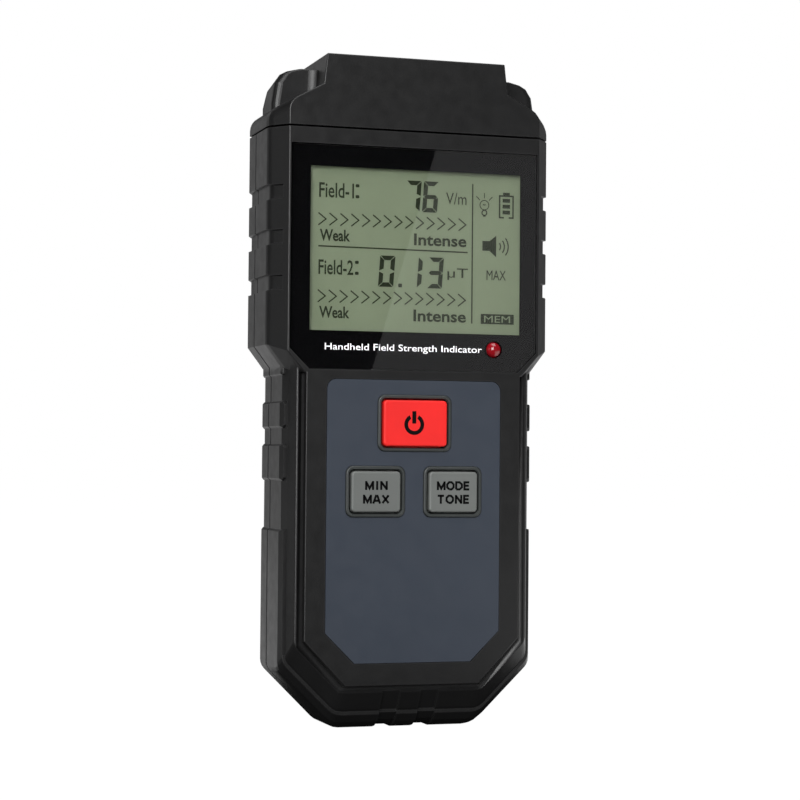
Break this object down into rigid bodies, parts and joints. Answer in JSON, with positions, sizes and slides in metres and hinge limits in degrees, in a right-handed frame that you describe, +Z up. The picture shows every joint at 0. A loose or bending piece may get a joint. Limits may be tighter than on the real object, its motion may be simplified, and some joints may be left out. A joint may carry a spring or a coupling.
{
  "type": "handheld radiation meter",
  "caption": "Handheld field and radiation meter with a display window, rubber keys, an indicator lamp, a sensor cap and a hinged battery door.",
  "frame": {"origin": "centre of the footprint, on the surface that the foot pads stand on", "axes": "+Z up along the case, +X to the right of someone looking at the display, -Y out of the display"},
  "size_m": [0.057, 0.0269, 0.1291],
  "materials": {
    "case": "fine moulded texture",
    "bezel": "fine moulded texture",
    "overlay": "satin printed film",
    "window": "clear gloss acrylic",
    "ink": "opaque black print",
    "lcd": "reflective liquid crystal cell",
    "diffuser": "white diffuser",
    "elastomer": "soft matt",
    "red_key": "satin silicone",
    "grey_key": "satin silicone",
    "carbon": "conductive carbon rubber",
    "indicator": "tinted clear epoxy",
    "board": "solder mask",
    "chip": "moulded epoxy",
    "ferrite": "sintered ferrite",
    "copper": "enamelled copper",
    "contact_metal": "bright nickel plating",
    "screw_steel": "zinc plated steel",
    "cell_wrap": "shrink wrap"
  },
  "bodies": {
    "housing": {"front_shell": "case", "rear_shell": "case", "sensor_cap": "case", "display_window": "window", "window_mask": "ink", "lcd_glass": "lcd", "lcd_backlight": "diffuser", "lcd_frame": "diffuser", "contact_strip": "elastomer", "led_body": "indicator", "led_lead_1": "contact_metal", "led_lead_2": "contact_metal", "keypad_overlay": "overlay", "power_key_bezel": "bezel", "average_key_bezel": "bezel", "hold_key_bezel": "bezel", "power_key_web": "elastomer", "average_key_web": "elastomer", "hold_key_web": "elastomer", "keypad_mat": "elastomer", "main_board": "board", "controller_chip": "chip", "amplifier_chip": "chip", "regulator_chip": "chip", "clock_crystal": "contact_metal", "buzzer": "chip", "storage_capacitor": "cell_wrap", "sensor_board": "board", "ferrite_core": "ferrite", "pickup_coil": "copper", "electric_field_plate": "copper", "plate_lead_1": "contact_metal", "plate_lead_2": "contact_metal", "battery_1": "cell_wrap", "battery_2": "cell_wrap", "battery_3": "cell_wrap", "battery_spring_1": "contact_metal", "battery_spring_2": "contact_metal", "battery_spring_3": "contact_metal", "battery_plate_1": "contact_metal", "battery_plate_2": "contact_metal", "battery_plate_3": "contact_metal", "case_screw_1": "screw_steel", "case_screw_2": "screw_steel", "case_screw_3": "screw_steel", "case_screw_4": "screw_steel"},
    "power_key": {"power_key": "red_key", "power_key_pill": "carbon"},
    "average_key": {"average_key": "grey_key", "average_key_pill": "carbon"},
    "hold_key": {"hold_key": "grey_key", "hold_key_pill": "carbon"},
    "battery_door": {"battery_door": "case"}
  },
  "joints": [
    {"name": "power_key_press", "type": "slide", "parent": "housing", "child": "power_key", "axis": [0, 1, 0], "range_m": [0, 0.001], "stiffness_N_per_m": 800, "deforming": ["power_key_web"]},
    {"name": "average_key_press", "type": "slide", "parent": "housing", "child": "average_key", "axis": [0, 1, 0], "range_m": [0, 0.001], "stiffness_N_per_m": 800, "deforming": ["average_key_web"]},
    {"name": "hold_key_press", "type": "slide", "parent": "housing", "child": "hold_key", "axis": [0, 1, 0], "range_m": [0, 0.001], "stiffness_N_per_m": 800, "deforming": ["hold_key_web"]},
    {"name": "battery_door_hinge", "type": "hinge", "parent": "housing", "child": "battery_door", "pos_m": [0, 0.013, 0.0134], "axis": [-1, 0, 0], "range_deg": [0, 70]}
  ]
}
